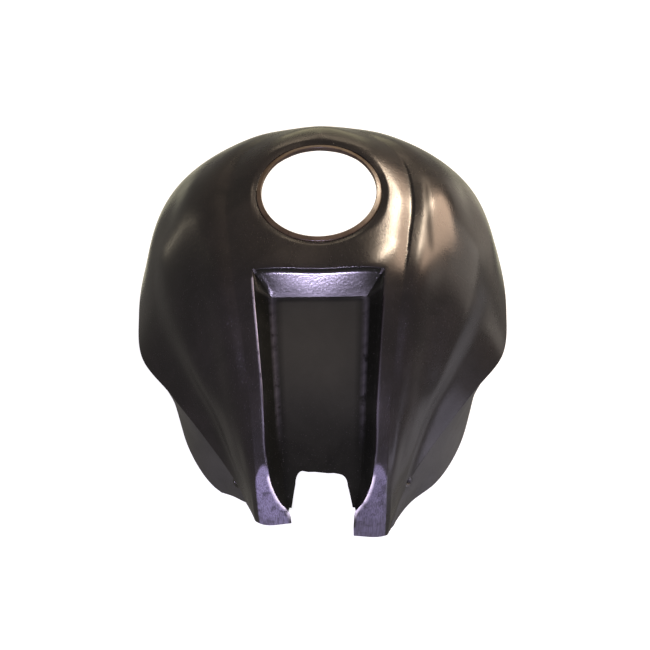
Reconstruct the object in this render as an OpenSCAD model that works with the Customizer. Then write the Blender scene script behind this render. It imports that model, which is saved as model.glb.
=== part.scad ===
// Fuel tank shell of a sports motorcycle: an open-bottomed laminate moulding with its bonded
// channel, filler seat, knee panels, stiffeners, fixings and hinged rear bracket.
// +X is the rider's right, +Y is forwards, +Z is up. The origin is on the floor, mid length.

/* [Laminate] */
// Thickness of the outer skin
skin_t = 3; // [2:0.5:4]
// Thickness of the bonded panels
panel_t = 2.5; // [2:0.5:3]
// Height that was sawn off the left foot
left_foot_trim = 26; // [0:1:27]

/* [Filler] */
// Inner radius of the filler seat
filler_r = 53.5; // [50:0.5:54]
// Radius of the hole in the skin round the seat
filler_hole_r = 58.5; // [58:0.5:60]
// Distance of the filler's centre in front of the origin
filler_y = 39.5; // [38:0.5:41]
// Height of the deck at the filler's centre
filler_z = 219.3; // [218.5:0.1:220]
// Backward lean of the filler's plane
filler_tilt = 7; // [6.5:0.5:8]

/* [Rear pivot] */
// Place of the pivot's axis along the tank
pivot_y = -138; // [-140:1:-136]
// Height of the pivot's axis
pivot_z = 78; // [76:1:80]
// Radius of the pivot pin
pin_r = 4; // [3:0.5:5]
// Spacing of the two frame bolts
bolt_spacing = 54; // [50:1:58]

/* [Fixings] */
// Radius of the quarter-turn studs
stud_r = 4; // [3:0.5:5]
// Inner radius of every threaded insert
insert_r = 3; // [2.5:0.5:3]

/* [Hidden] */
$fn = 48;

gap = 0.3;            // between bonded panels that follow each other's curves
glue_t = 0.8;         // paste between the skin and a stiffener
run = 0.05;           // radial clearance of a running fit
insert_outer_r = 5.5;
cup_outer_r = 8;
cut = 40;             // length of a cutter that goes right through a panel

// --- guide lines of the outer surface

// Guide lines of the right half, from the spine outwards. Each has one point per station, and
// the stations run from the rear foot's bottom edge forwards to the middle of the nose.
spine = [[0, -200, 0], [0, -200, 25], [0, -199, 47], [0, -197, 60], [0, -189, 83], [0, -175, 104],
         [0, -140, 141], [0, -100, 174], [0, -48, 207], [0, -15, 212], [0, 35, 219], [0, 88, 226],
         [0, 106, 226], [0, 114, 225]];
aperture = [[28.5, -200, 0], [28.5, -200, 25], [31, -199, 47], [41, -197, 60], [46, -189, 83],
            [47, -175, 103], [49, -140, 140], [53, -100, 173], [58, -48, 206], [60, -12, 211],
            [62, 35, 217], [52, 88, 223], [28, 119, 220], [0, 134, 217]];
deck_edge = [[57, -200, 0], [57, -200, 25], [57, -199, 47], [57, -197, 60], [58, -189, 83],
             [59, -175, 100], [62, -140, 136], [67, -100, 168], [76, -48, 199], [82, -10, 206],
             [87, 35, 211], [76, 98, 211], [44, 138, 205], [0, 149, 206]];
step_top = [[60, -199, 0], [61, -198, 25], [61, -197, 47], [61, -194, 60], [62, -186, 80],
            [64, -173, 98], [69, -140, 132], [75, -100, 167.5], [86, -48, 198.5], [93, -9, 205.3],
            [98, 35, 210.8], [86, 106, 207], [52, 147, 198], [0, 160, 197]];
crown = [[61.5, -197, 0], [62, -197, 20], [63, -195, 40], [64, -191, 51], [67, -182, 70],
         [72, -168, 84], [84, -138, 112], [96, -100, 144], [110, -50, 181], [118, -5, 196],
         [122, 40, 202], [107, 116, 192], [63, 164, 183.5], [0, 175, 182]];
ridge = [[62, -195.5, 0], [63, -195, 16], [65, -191, 30], [67, -187, 42], [71, -177, 56],
         [78, -163, 70], [93, -130, 100], [112, -98, 128], [134, -48, 158], [146, 0, 172],
         [146.5, 46, 176], [127, 129, 171], [72, 178, 166.5], [0, 186, 171]];
flank = [[62.5, -193.5, 0], [63.5, -193, 11], [66, -189, 21], [69, -183, 31], [74, -173, 43],
         [82, -158, 56], [101, -124, 82], [125, -90, 105], [152, -49, 122], [163, 0, 140],
         [165, 50, 152], [141, 139, 150], [78, 187, 150], [0, 195, 160]];
lower_edge = [[63.5, -191, 0], [65, -190, 8], [67.5, -186.5, 16], [70.5, -181, 24], [77, -170, 34],
              [86, -158, 43], [112, -128, 62], [144, -93, 80], [175, -55, 88], [184, -5, 94],
              [184, 50, 100], [160, 144, 114], [84, 194, 136], [0, 201.4, 148]];
guides = [spine, aperture, deck_edge, step_top, crown, ridge, flank, lower_edge];

// Guide lines of the knee panel, below the lower edge, for the stations from the second one.
knee_mid = [[64.8, -191, 4], [67, -188, 8], [69.5, -183, 12], [76, -173, 17], [84, -163, 21],
            [109, -135, 31], [136, -97, 42], [158, -54, 50], [165, -5, 52], [164, 50, 54],
            [150, 118, 64]];
knee_foot = [[64.5, -192, 0], [66.5, -189.5, 0], [69, -185, 0], [75.5, -175.5, 0],
             [82.5, -167, 0], [110, -144, 0], [136, -104, 0], [153, -52, 0], [159, -5, 0],
             [157, 50, 0], [143, 104, 24]];
knee_seam = [-1.4, 0.3, -2.6];       // from the skin's lower edge to the panel's upper edge

// The channel's floor from its rear end to the foot of its front wall: middle and right edge.
floor_middle = [[0, -195, 48], [0, -187, 66], [0, -176, 81], [0, -163, 96], [0, -129, 133],
                [0, -92, 162], [0, -61, 184]];
floor_edge = [[29.5, -195, 48], [33, -187, 66], [35.5, -176, 81], [36.5, -163, 96],
              [38.5, -129, 133], [40.5, -92, 162], [42, -61, 184]];

// Rows of facets between one station and the next, and columns between one guide and the next.
row_steps = [1, 1, 1, 2, 1, 3, 3, 4, 3, 3, 4, 4, 4];
column_steps = [3, 2, 1, 3, 3, 2, 3];
knee_row_steps = [1, 1, 1, 1, 2, 2, 3, 3, 3, 3];
knee_column_steps = [3, 3];
floor_steps = [1, 2, 1, 3, 3, 3];
rear_row = 2;            // row of facets where the channel begins
front_station = 8;       // station of the channel's front wall

// --- smooth curves and the surface's grid of points

function mirror_x(p) = [-p[0], p[1], p[2]];
function share(a, b, t) = a + (b - a) * t;
function span(a, b) = max(norm(b - a), 0.001);
function sum_to(list, n) = n <= 0 ? 0 : list[n - 1] + sum_to(list, n - 1);

// Point at share t of the way from b to c, on a smooth curve through a, b, c and d.
function on_curve(a, b, c, d, t) =
    let (p = span(a, b), q = span(b, c), r = span(c, d),
         leave = ((b - a) / p * q + (c - b) / q * p) / (p + q) * q,
         arrive = ((c - b) / q * r + (d - c) / r * q) / (q + r) * q)
    (2 * t^3 - 3 * t^2 + 1) * b + (t^3 - 2 * t^2 + t) * leave
    + (3 * t^2 - 2 * t^3) * c + (t^3 - t^2) * arrive;

// Smooth curve through points, with steps[i] pieces after point i. The points before and after
// set its direction at the two ends.
function curve(points, steps, before, after) =
    let (all = concat([before], points, [after]))
    [for (i = [0 : len(points) - 2], s = [0 : steps[i] - 1])
        on_curve(all[i], all[i + 1], all[i + 2], all[i + 3], s / steps[i]),
     points[len(points) - 1]];

function run_on(points) = 2 * points[0] - points[1];
function run_off(points) = let (n = len(points)) 2 * points[n - 1] - points[n - 2];
function smooth(points, steps) = curve(points, steps, run_on(points), run_off(points));

function half_grid() =
    let (lines = [for (g = guides) curve(g, row_steps, run_on(g), mirror_x(g[len(g) - 2]))],
         last = len(lines[0]) - 1)
    [for (i = [0 : last]) let (across = [for (l = lines) l[i]])
        curve(across, column_steps, i == last ? run_on(across) : mirror_x(across[1]),
              run_off(across))];

// A row of the whole width, from a row of the right half that starts on the spine.
function both_halves(row) = concat([for (j = [len(row) - 1 : -1 : 1]) mirror_x(row[j])], row);

grid = [for (r = half_grid()) both_halves(r)];
rows = len(grid);
middle = (len(grid[0]) - 1) / 2;                   // column of the spine
aperture_edge = middle + column_steps[0];          // column of the channel's right edge
front_row = sum_to(row_steps, front_station);

// Direction out of a sheet at (i, j), from its neighbours. The skin's last row is a seam that
// both halves share, so the row after it is the mirror of the row before.
function outward(g, i, j, seam) =
    let (m = len(g) - 1, n = len(g[0]) - 1,
         ahead = i < m ? g[i + 1][j] : seam ? mirror_x(g[i - 1][j]) : g[i][j],
         behind = g[max(i - 1, 0)][j],
         pole = seam && i == m && j == middle,
         along = pole ? g[i][j + 1] - behind : ahead - behind,
         over = pole ? [1, 0, 0] : g[i][min(j + 1, n)] - g[i][max(j - 1, 0)],
         c = cross(over, along))
    c / max(norm(c), 0.001);

function offset_grid(g, depth, seam = false) =
    [for (i = [0 : len(g) - 1]) [for (j = [0 : len(g[0]) - 1])
        g[i][j] - depth * outward(g, i, j, seam)]];

// --- thick sheets

function in_skin(i, j) =
    i >= 0 && i < rows - 1 && j >= 0 && j < 2 * middle
    && !(i < front_row && abs(j + 0.5 - middle) < column_steps[0]);

// A sheet of the given thickness below the grid of points. The skin leaves out the cells of the
// channel's aperture, and its last row is folded together at the nose's seam.
module thick_sheet(g, thickness, skin = false) {
    m = len(g) - 1;
    n = len(g[0]) - 1;
    below = offset_grid(g, thickness, skin);
    layer = (m + 1) * (n + 1);
    function has(i, j) = skin ? in_skin(i, j) : i >= 0 && j >= 0 && i < m && j < n;
    function at(i, j) = i * (n + 1) + (skin && i == m && j < middle ? 2 * middle - j : j);
    function ends(i, j) = !has(i, j) && !(skin && i == m);
    function wall(a, b) = [[a, b, b + layer], [a, b + layer, a + layer]];
    cells = [for (i = [0 : m - 1], j = [0 : n - 1]) if (has(i, j)) [i, j]];
    top = [for (c = cells) each let (a = at(c[0], c[1]), b = at(c[0], c[1] + 1),
                                     d = at(c[0] + 1, c[1] + 1), e = at(c[0] + 1, c[1]))
              [[a, d, b], [a, e, d]]];
    bottom = [for (t = top) [t[2] + layer, t[1] + layer, t[0] + layer]];
    walls = [for (c = cells) each let (i = c[0], j = c[1]) concat(
        ends(i - 1, j) ? wall(at(i, j), at(i, j + 1)) : [],
        ends(i + 1, j) ? wall(at(i + 1, j + 1), at(i + 1, j)) : [],
        ends(i, j - 1) ? wall(at(i + 1, j), at(i, j)) : [],
        ends(i, j + 1) ? wall(at(i, j + 1), at(i + 1, j + 1)) : [])];
    polyhedron(points = concat([for (r = g) each r], [for (r = below) each r]),
               faces = concat(top, bottom, walls), convexity = 10);
}

// --- places and shapes that several parts share

module on_filler() { translate([0, filler_y, filler_z]) rotate([filler_tilt, 0, 0]) children(); }
module at_side_fixing() { translate([81, -164, 38]) rotate([0, 0, -42]) rotate([0, 65, 0]) children(); }
module at_stud() { translate([161, 40, 26]) rotate([0, 90, 0]) children(); }
module along_x(x) { translate([x, pivot_y, pivot_z]) rotate([90, 0, 90]) children(); }

// Side 1 is the right and -1 is the left.
module on_side(side) {
    if (side > 0) children();
    else mirror([1, 0, 0]) children();
}

module both_sides() {
    for (side = [-1, 1]) on_side(side) children();
}

module tube(r_out, r_in, length) {
    difference() {
        cylinder(r = r_out, h = length);
        translate([0, 0, -1]) cylinder(r = r_in, h = length + 2);
    }
}

module through_hole(r) { translate([0, 0, -cut / 2]) cylinder(r = r, h = cut); }

// Everything under the plane that the shell stands on.
module below_floor() { translate([-250, -250, -50]) cube([500, 500, 50]); }

// What the saw took off the left foot, at a slant from the knee panel's lower edge.
module left_trim() {
    translate([-90, 0, 0]) rotate([90, 0, 90]) linear_extrude(80)
        polygon([[-230, -1], [-152, -1], [-180, left_foot_trim], [-230, left_foot_trim]]);
}

// --- laminate panels

module upper_shell() {
    color("#2b2927") difference() {
        thick_sheet(grid, skin_t, true);
        on_filler() through_hole(filler_hole_r);
        both_sides() at_side_fixing() through_hole(insert_outer_r + gap);
        left_trim();
        below_floor();
    }
}

// The notch between the rear feet, with rounded front corners.
module notch_cut() {
    half_w = 26;
    front = -177;
    corner_r = 12;
    rear = -230;
    straight = half_w - corner_r;
    translate([0, rear, -1]) {
        translate([-half_w, 0, 0]) cube([2 * half_w, front - corner_r - rear, 160]);
        translate([-straight, 0, 0]) cube([2 * straight, front - rear, 160]);
        for (x = [-straight, straight])
            translate([x, front - corner_r - rear, 0]) cylinder(r = corner_r, h = 160);
    }
}

// A tray bonded under the skin all round its aperture: floor, side walls, front wall and flange.
module centre_channel() {
    bed = offset_grid(grid, skin_t + gap, true);
    line = smooth(floor_middle, floor_steps);
    edge = smooth(floor_edge, floor_steps);
    sides = [for (i = [0 : len(line) - 1])
             let (lip = bed[rear_row + i][aperture_edge], flange = bed[rear_row + i][aperture_edge + 1])
             [line[i], share(line[i], edge[i], 0.5), edge[i], share(edge[i], lip, 0.5), lip, flange]];
    front = [for (i = [front_row, front_row + 1])
             let (b = bed[i], lip = b[aperture_edge])
             [b[middle], share(b[middle + 1], b[middle + 2], 0.2), share(b[middle + 2], lip, 0.3),
              share(b[middle + 2], lip, 0.7), lip, b[aperture_edge + 1]]];
    color("#262422") difference() {
        thick_sheet([for (r = concat(sides, front)) both_halves(r)], panel_t);
        notch_cut();
    }
}

module knee_panel(side) {
    seam = [for (i = [0 : len(knee_mid) - 1]) lower_edge[i + 1] + knee_seam];
    lines = [for (l = [seam, knee_mid, knee_foot]) smooth(l, knee_row_steps)];
    panel = [for (i = [0 : len(lines[0]) - 1]) smooth([for (l = lines) l[i]], knee_column_steps)];
    color("#33352f") difference() {
        on_side(side) difference() {
            thick_sheet(panel, panel_t);
            at_side_fixing() through_hole(insert_outer_r + gap);
            at_stud() through_hole(cup_outer_r + gap);
        }
        left_trim();
        below_floor();
    }
}

// --- filler

module filler_ring() {
    lip = [-1.5, -4];              // top and bottom of the seat's lip, just below the deck
    flange = [-5.8, -8];           // top and bottom of the flange, which lies under the skin
    wall_r = 56.5;
    flange_r = 64;
    neck_r = filler_hole_r - gap;
    color("#2b2927") on_filler() rotate_extrude($fn = 96)
        polygon([[filler_r, lip[0]], [neck_r, lip[0]], [neck_r, flange[0]], [flange_r, flange[0]],
                 [flange_r, flange[1]], [wall_r, flange[1]], [wall_r, lip[1]], [filler_r, lip[1]]]);
}

// A flat washer of laminate under the ring's flange.
module filler_doubler() {
    color("#4a4742") on_filler() translate([0, 0, -10.5]) tube(66, 58, 2.3);
}

// --- threaded inserts and the blocks behind the rear feet

foot_x = 43;
foot_y = -187;
foot_insert_l = 15;

function foot_z(side) = side < 0 ? left_foot_trim : 0;

module foot_block(side) {
    width = 22;
    depth = 18;
    top = 46;
    set_back = 2;                  // from the end of the foot to the block
    bottom = foot_z(side) + set_back;
    color("#8f7650") on_side(side) translate([foot_x, foot_y, 0]) difference() {
        translate([-width / 2, -depth / 2, bottom]) cube([width, depth, top - bottom]);
        translate([0, 0, -1]) cylinder(r = insert_outer_r, h = foot_z(side) + foot_insert_l + 2);
    }
}

module foot_insert(side) {
    color("#2e2d2b") on_side(side) translate([foot_x, foot_y, foot_z(side)])
        tube(insert_outer_r, insert_r, foot_insert_l);
}

module side_insert(side) {
    length = 16;
    head_r = 9;
    head_t = 2.5;
    color("#2e2d2b") on_side(side) at_side_fixing() translate([0, 0, -length - 1]) {
        tube(insert_outer_r, insert_r, length);
        tube(head_r, insert_r, head_t);
    }
}

// --- stiffeners: pads of foam core bonded to the inside of the skin

module core_pad(row_from, row_to, column_from, column_to, thickness) {
    bed = offset_grid(grid, skin_t + glue_t, true);
    color("#57534c") thick_sheet([for (i = [row_from : row_to])
        [for (j = [column_from : column_to]) bed[i][j]]], thickness);
}

// A pad along the shoulder, from the widest station's rear to its front.
module stiffener(side) {
    first = middle + sum_to(column_steps, 5);
    on_side(side) core_pad(sum_to(row_steps, 7), sum_to(row_steps, 10), first, first + 2, 6);
}

// A pad on each side of the seam inside the nose.
module front_bow() {
    both_sides() core_pad(rows - 9, rows - 1, 2 * middle - 3, 2 * middle - 1, 5);
}

// --- quarter-turn studs in the knee panels

ring_t = 1.2;

module stud_cup(side) {
    color("#9a9ca0") on_side(side) at_stud() {
        translate([0, 0, 1]) tube(12, stud_r + run, 1.5);
        translate([0, 0, -9]) tube(cup_outer_r, stud_r + run, 10.5);
    }
}

module stud(side) {
    head_z = 2.6;
    head_t = 3;
    shoulder = -11;                // inner end of the shank, which the cup and the ring hold
    groove_l = 1;
    pin_l = 11;                    // length that the receptacle takes
    nose_l = 5;
    pin_end = shoulder - groove_l - pin_l;
    color("#b9bbbf") on_side(side) at_stud() difference() {
        union() {
            translate([0, 0, head_z]) cylinder(r = 9, h = head_t);
            translate([0, 0, shoulder]) cylinder(r = stud_r, h = head_z + 1 - shoulder);
            translate([0, 0, pin_end]) cylinder(r = stud_r - 0.6, h = pin_l);
            translate([0, 0, pin_end - nose_l]) cylinder(r = stud_r - 1, h = nose_l + pin_l + groove_l + 1);
        }
        translate([-7, -0.8, head_z + head_t - ring_t]) cube([14, 1.6, 2]);
        translate([-stud_r - 1, -1.25, pin_end - nose_l - 1]) cube([2 * stud_r + 2, 2.5, nose_l + 1]);
    }
}

module stud_ring(side) {
    color("#6f7174") on_side(side) at_stud() translate([0, 0, -9.2 - ring_t]) tube(7, stud_r, ring_t);
}

// --- rear pivot under the channel's floor

lug_x = 14;
lug_t = 4;
boss_r = 10;
bush_r = 6.5;
bush_flange_t = 1.3;
floor_slope = 37 / 34;            // the channel floor's rise over its run, above the pivot

// Height above the pivot of a line just under the channel's floor.
function under_floor(y) = 96 + floor_slope * (pivot_y + y + 163) - 6.4 - pivot_z;

module pivot_lug(side) {
    reach = 14;
    foot_t = 4.5;
    foot_w = 15;
    color("#9a9ca0") on_side(side) {
        difference() {
            along_x(lug_x) {
                cylinder(r = boss_r, h = lug_t);
                linear_extrude(lug_t) polygon([[-boss_r, 0], [boss_r, 0], [reach, under_floor(reach)],
                                               [-reach, under_floor(-reach)]]);
            }
            along_x(lug_x - 1) cylinder(r = bush_r, h = lug_t + 2);
        }
        along_x(lug_x) linear_extrude(foot_w)
            polygon([[-reach, under_floor(-reach) - foot_t], [reach, under_floor(reach) - foot_t],
                     [reach, under_floor(reach)], [-reach, under_floor(-reach)]]);
    }
}

module pivot_bush(side) {
    color("#1d1d1d") on_side(side) along_x(lug_x - 1.5) {
        tube(bush_r, pin_r + run, lug_t + 1.5);
        tube(9, pin_r + run, bush_flange_t);
    }
}

groove_x = 21;
groove_w = 1.2;
groove_r = pin_r - 1;

module pivot_pin() {
    head_t = 3;
    half_l = 24;
    color("#b9bbbf") difference() {
        union() {
            along_x(-half_l) cylinder(r = pin_r, h = 2 * half_l + 1);
            along_x(-half_l - head_t) cylinder(r = 6.5, h = head_t);
        }
        along_x(groove_x) tube(pin_r + 1, groove_r, groove_w);
    }
}

module pivot_clip() {
    color("#6f7174") along_x(groove_x + 0.1) difference() {
        cylinder(r = 7, h = groove_w - 0.2);
        translate([0, 0, -1]) cylinder(r = groove_r, h = groove_w + 1);
        translate([-2, -9, -1]) cube([4, 9, groove_w + 1]);
    }
}

// --- frame bracket, which turns about the pivot

base_top = -18.5;        // from the pivot's axis to the top of the base plate
base_t = 3.5;
base_reach = 14;
pad_t = 3;

module base_plate(top, thickness) {
    bolt_hole_r = 3.3;
    difference() {
        translate([-bolt_spacing / 2 - 10, pivot_y - base_reach, pivot_z + top - thickness])
            cube([bolt_spacing + 20, 2 * base_reach, thickness]);
        for (x = [-bolt_spacing / 2, bolt_spacing / 2])
            translate([x, pivot_y, pivot_z + top]) through_hole(bolt_hole_r);
    }
}

module frame_bracket() {
    ear_x = 8.5;
    ear_t = 3.5;
    ear_r = 9;
    color("#3a3c40") {
        difference() {
            for (x = [-ear_x - ear_t, ear_x]) along_x(x) {
                cylinder(r = ear_r, h = ear_t);
                linear_extrude(ear_t) polygon([[-ear_r, 0], [ear_r, 0], [base_reach, base_top],
                                               [-base_reach, base_top]]);
            }
            along_x(0) through_hole(pin_r);
        }
        base_plate(base_top, base_t);
    }
}

module bracket_pad() { color("#191919") base_plate(base_top - base_t, pad_t); }

upper_shell();
centre_channel();
knee_panel(-1);  // left_knee_panel
knee_panel(1);  // right_knee_panel
filler_ring();
filler_doubler();
foot_block(-1);  // left_foot_block
foot_block(1);  // right_foot_block
foot_insert(-1);  // left_foot_insert
foot_insert(1);  // right_foot_insert
side_insert(-1);  // left_side_insert
side_insert(1);  // right_side_insert
stiffener(-1);  // left_stiffener
stiffener(1);  // right_stiffener
front_bow();
stud_cup(-1);  // left_stud_cup
stud_cup(1);  // right_stud_cup
stud(-1);  // left_stud
stud(1);  // right_stud
stud_ring(-1);  // left_stud_ring
stud_ring(1);  // right_stud_ring
pivot_lug(-1);  // left_pivot_lug
pivot_lug(1);  // right_pivot_lug
pivot_bush(-1);  // left_pivot_bush
pivot_bush(1);  // right_pivot_bush
pivot_pin();
pivot_clip();
frame_bracket();
bracket_pad();
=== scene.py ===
import math
import bmesh
import bpy
import numpy as np
from mathutils import Matrix, Vector


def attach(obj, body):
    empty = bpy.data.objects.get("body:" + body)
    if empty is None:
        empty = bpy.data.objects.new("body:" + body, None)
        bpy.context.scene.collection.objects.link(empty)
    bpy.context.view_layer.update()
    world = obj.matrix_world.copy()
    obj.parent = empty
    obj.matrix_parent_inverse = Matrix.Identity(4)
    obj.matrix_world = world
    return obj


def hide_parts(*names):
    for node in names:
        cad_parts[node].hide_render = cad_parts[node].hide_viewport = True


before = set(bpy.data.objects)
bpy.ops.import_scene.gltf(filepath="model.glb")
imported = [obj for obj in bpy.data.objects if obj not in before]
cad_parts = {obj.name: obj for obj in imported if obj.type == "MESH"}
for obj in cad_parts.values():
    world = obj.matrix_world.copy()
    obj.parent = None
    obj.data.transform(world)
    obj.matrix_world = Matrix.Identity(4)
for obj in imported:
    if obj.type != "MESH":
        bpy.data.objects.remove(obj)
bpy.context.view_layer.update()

# The fuel tank shell's visible pieces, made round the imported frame. Everything is in metres: the
# guide lines are millimetres times MM. +X is the rider's right, +Y is forwards, +Z is up.

MM = 0.001
MIRROR = np.array([-1.0, 1.0, 1.0])

# --- thicknesses of the laminate and places of the holes, as in the frame

SKIN = 3 * MM
PANEL = 2.5 * MM
BOND = 0.3 * MM
RIM = 0.6 * MM  # radius of the skin's rounded edge
PANEL_RIM = 1.1 * MM  # radius of the other panels' rounded edges
FILLER = Vector((0, 0.0395, 0.2193))
FILLER_TILT = math.radians(7)
FILLER_HOLE = 58.5 * MM
SIDE_HOLE = 5.8 * MM
STUD_HOLE = 8.3 * MM
NOTCH_HALF, NOTCH_FRONT, NOTCH_CORNER = 24.5 * MM, -177 * MM, 8 * MM
NOTCH_FLARE = 0.4  # how fast the notch widens to the rear
FOOT_TRIM = 26 * MM  # height sawn off the left foot
TRIM_KNEE, TRIM_SLOPE = -180 * MM, 27 / 28  # where the cut begins to slope down forwards

# --- guide lines of the right half, from the spine outwards, with one point for each station

SPINE = [
    (0, -200, 0), (0, -200, 25), (0, -199, 47), (0, -197, 60), (0, -189, 83), (0, -175, 104),
    (0, -140, 141), (0, -100, 174), (0, -48, 207), (0, -15, 212), (0, 35, 219), (0, 88, 226),
    (0, 106, 226), (0, 114, 225)
]
APERTURE = [
    (28.5, -200, 0), (28.5, -200, 25), (30.5, -199, 47), (37, -197, 60), (44.5, -189, 83),
    (47, -175, 103), (49, -140, 140), (53, -100, 173), (58, -48, 206), (60, -12, 211),
    (62, 35, 217), (52, 88, 223), (28, 119, 220), (0, 134, 217)
]
DECK_EDGE = [
    (57, -200, 0), (57, -200, 25), (57, -199, 47), (57, -197, 60), (58, -189, 83), (59, -175, 100),
    (62, -140, 136), (67, -100, 168), (76, -48, 199), (82, -10, 206), (87, 35, 211), (76, 98, 211),
    (44, 138, 205), (0, 149, 206)
]
STEP_TOP = [
    (60, -199, 0), (61, -198, 25), (61, -197, 47), (61, -194, 60), (62, -186, 80), (64, -173, 98),
    (69, -140, 132), (75, -100, 167.5), (86, -48, 198.5), (93, -9, 205.3), (98, 35, 210.8),
    (86, 106, 207), (52, 147, 198), (0, 160, 197)
]
CROWN = [
    (61.5, -197, 0), (62, -197, 20), (63, -195, 40), (64, -191, 51), (67, -182, 70),
    (72, -168, 84), (84, -138, 112), (96, -100, 144), (110, -50, 181), (118, -5, 196),
    (122, 40, 202), (107, 116, 192), (63, 164, 183.5), (0, 175, 182)
]
RIDGE = [
    (62, -195.5, 0), (63, -195, 16), (65, -191, 30), (67, -187, 42), (71, -177, 56),
    (78, -163, 70), (93, -130, 100), (112, -98, 128), (134, -48, 158), (146, 0, 172),
    (146.5, 46, 176), (127, 129, 171), (72, 178, 166.5), (0, 186, 171)
]
FLANK = [
    (62.5, -193.5, 0), (63.5, -193, 11), (66, -189, 21), (69, -183, 31), (74, -173, 43),
    (82, -158, 56), (101, -124, 82), (125, -90, 105), (152, -49, 122), (163, 0, 140),
    (165, 50, 152), (141, 139, 150), (78, 187, 150), (0, 195, 160)
]
LOWER_EDGE = [
    (63.5, -191, 0), (65, -190, 8), (67.5, -186.5, 16), (70.5, -181, 24), (77, -170, 34),
    (86, -158, 43), (112, -128, 62), (144, -93, 80), (175, -55, 88), (184, -5, 94), (184, 50, 100),
    (160, 144, 114), (84, 194, 136), (0, 201.4, 148)
]
KNEE_MID = [
    (64.8, -191, 4), (67, -188, 8), (69.5, -183, 12), (76, -173, 17), (84, -163, 21),
    (109, -135, 31), (136, -97, 42), (158, -54, 50), (165, -5, 52), (164, 50, 54), (150, 118, 64)
]
KNEE_FOOT = [
    (64.5, -192, 0), (66.5, -189.5, 0), (69, -185, 0), (75.5, -175.5, 0), (82.5, -167, 0),
    (110, -144, 0), (136, -104, 0), (153, -52, 0), (159, -5, 0), (157, 50, 0), (143, 104, 24)
]
FLOOR_EDGE = [
    (29.5, -195, 48), (33, -187, 66), (35.5, -176, 81), (36.5, -163, 96), (38.5, -129, 133),
    (40.5, -92, 162), (42, -61, 184)
]
FLOOR_MIDDLE = [(0, y, z) for _, y, z in FLOOR_EDGE]

# Stations by guides by coordinates.
SKIN_GUIDES = MM * np.array([SPINE, APERTURE, DECK_EDGE, STEP_TOP, CROWN, RIDGE, FLANK,
                             LOWER_EDGE], float).transpose(1, 0, 2)
KNEE_SEAM = np.array(LOWER_EDGE[1:12], float) + (-2.6, 0.4, 0.8)  # tucked behind the skin
KNEE_GUIDES = MM * np.array([KNEE_SEAM, KNEE_MID, KNEE_FOOT], float).transpose(1, 0, 2)
FLOOR_GUIDES = MM * np.array([FLOOR_MIDDLE, FLOOR_EDGE], float).transpose(1, 0, 2)

# Rows from station to station and columns from guide to guide.
SKIN_ROWS = [10, 9, 7, 10, 10, 20, 20, 24, 14, 20, 22, 18, 22]
SKIN_COLUMNS = [22, 10, 12, 14, 14, 12, 16]
KNEE_ROWS = [4, 5, 6, 6, 12, 16, 18, 18, 20, 24]
KNEE_COLUMNS = [14, 14]
FRONT_STATION = 8  # where the channel's front wall meets the deck
REAR_STATION = 2  # where the channel begins
DECK_GUIDE = 2  # the deck's edge, and the next guide is the step's top
CRACK_GUIDE = 2.06  # just up the step
FLANGE_GUIDE = 1.45  # how far the tray reaches under the skin
LEDGE_STATION = FRONT_STATION + 0.25
FILLER_STATION = 10 + (FILLER.y / MM - SPINE[10][1]) / (SPINE[11][1] - SPINE[10][1])


# --- smooth curves and surfaces

def hermite(a, b, c, d, t):
    """Points at share t of the way from b to c, on a smooth curve through a, b, c and d."""
    p, q, r = (np.maximum(np.linalg.norm(y - x, axis=-1, keepdims=True), 1e-6)
               for x, y in ((a, b), (b, c), (c, d)))
    leave = ((b - a) / p * q + (c - b) / q * p) / (p + q) * q
    arrive = ((c - b) / q * r + (d - c) / r * q) / (q + r) * q
    return ((2 * t**3 - 3 * t**2 + 1) * b + (t**3 - 2 * t**2 + t) * leave
            + (3 * t**2 - 2 * t**3) * c + (t**3 - t**2) * arrive)


def run_off(last, previous):
    return 2 * last - previous


def along(lines, t, after=None):
    """Each line at each station in t. lines is stations x lines x 3, the result t x lines x 3."""
    after = run_off(lines[-1], lines[-2]) if after is None else after
    padded = np.concatenate([run_off(lines[0], lines[1])[None], lines, after[None]])
    i = np.clip(t.astype(int), 0, len(lines) - 2)
    return hermite(*(padded[i + k] for k in range(4)), (t - i)[:, None, None])


def across(lines, t, before, sharp=None):
    """The curve across each row of lines, at its own t. lines is rows x lines x 3, and sharp says
    how far each point of a row is a corner: 0 smooth, 1 sharp."""
    after = run_off(lines[:, -1], lines[:, -2])
    padded = np.concatenate([before[:, None], lines, after[:, None]], axis=1)
    i = np.clip(t.astype(int), 0, lines.shape[1] - 2)
    n = np.arange(len(t))
    a, b, c, d = (padded[n, i + k] for k in range(4))
    if sharp is not None:
        a = a + (run_off(b, c) - a) * sharp[n, i][:, None]
        d = d + (run_off(c, b) - d) * sharp[n, i + 1][:, None]
    return hermite(a, b, c, d, (t - i)[:, None])


def skin_at(u, v):
    """The outer surface at station u and guide v. A negative v is on the left."""
    u, v = (x.astype(float) for x in np.broadcast_arrays(u, v))
    lines = along(SKIN_GUIDES, u.ravel(), SKIN_GUIDES[-2] * MIRROR)
    sharp = np.zeros(lines.shape[:2])
    sharp[:, DECK_GUIDE] = between(u.ravel(), 1.6, 12.7, 1.4, 1.2)
    points = across(lines, np.abs(v).ravel(), lines[:, 1] * MIRROR, sharp)
    points[:, 0] *= np.where(v.ravel() < 0, -1, 1)
    return points.reshape(*u.shape, 3)


def knee_at(u, v):
    """The right knee panel's outer surface at station u and guide v."""
    u, v = (x.astype(float) for x in np.broadcast_arrays(u, v))
    lines = along(KNEE_GUIDES, u.ravel())
    points = across(lines, v.ravel(), run_off(lines[:, 0], lines[:, 1]))
    return points.reshape(*u.shape, 3)


def steps(counts):
    """Parameters 0, 1, 2 and so on, with counts[i] equal steps after i."""
    parts = [i + np.arange(n) / n for i, n in enumerate(counts)]
    return np.concatenate(parts + [[float(len(counts))]])


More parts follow.
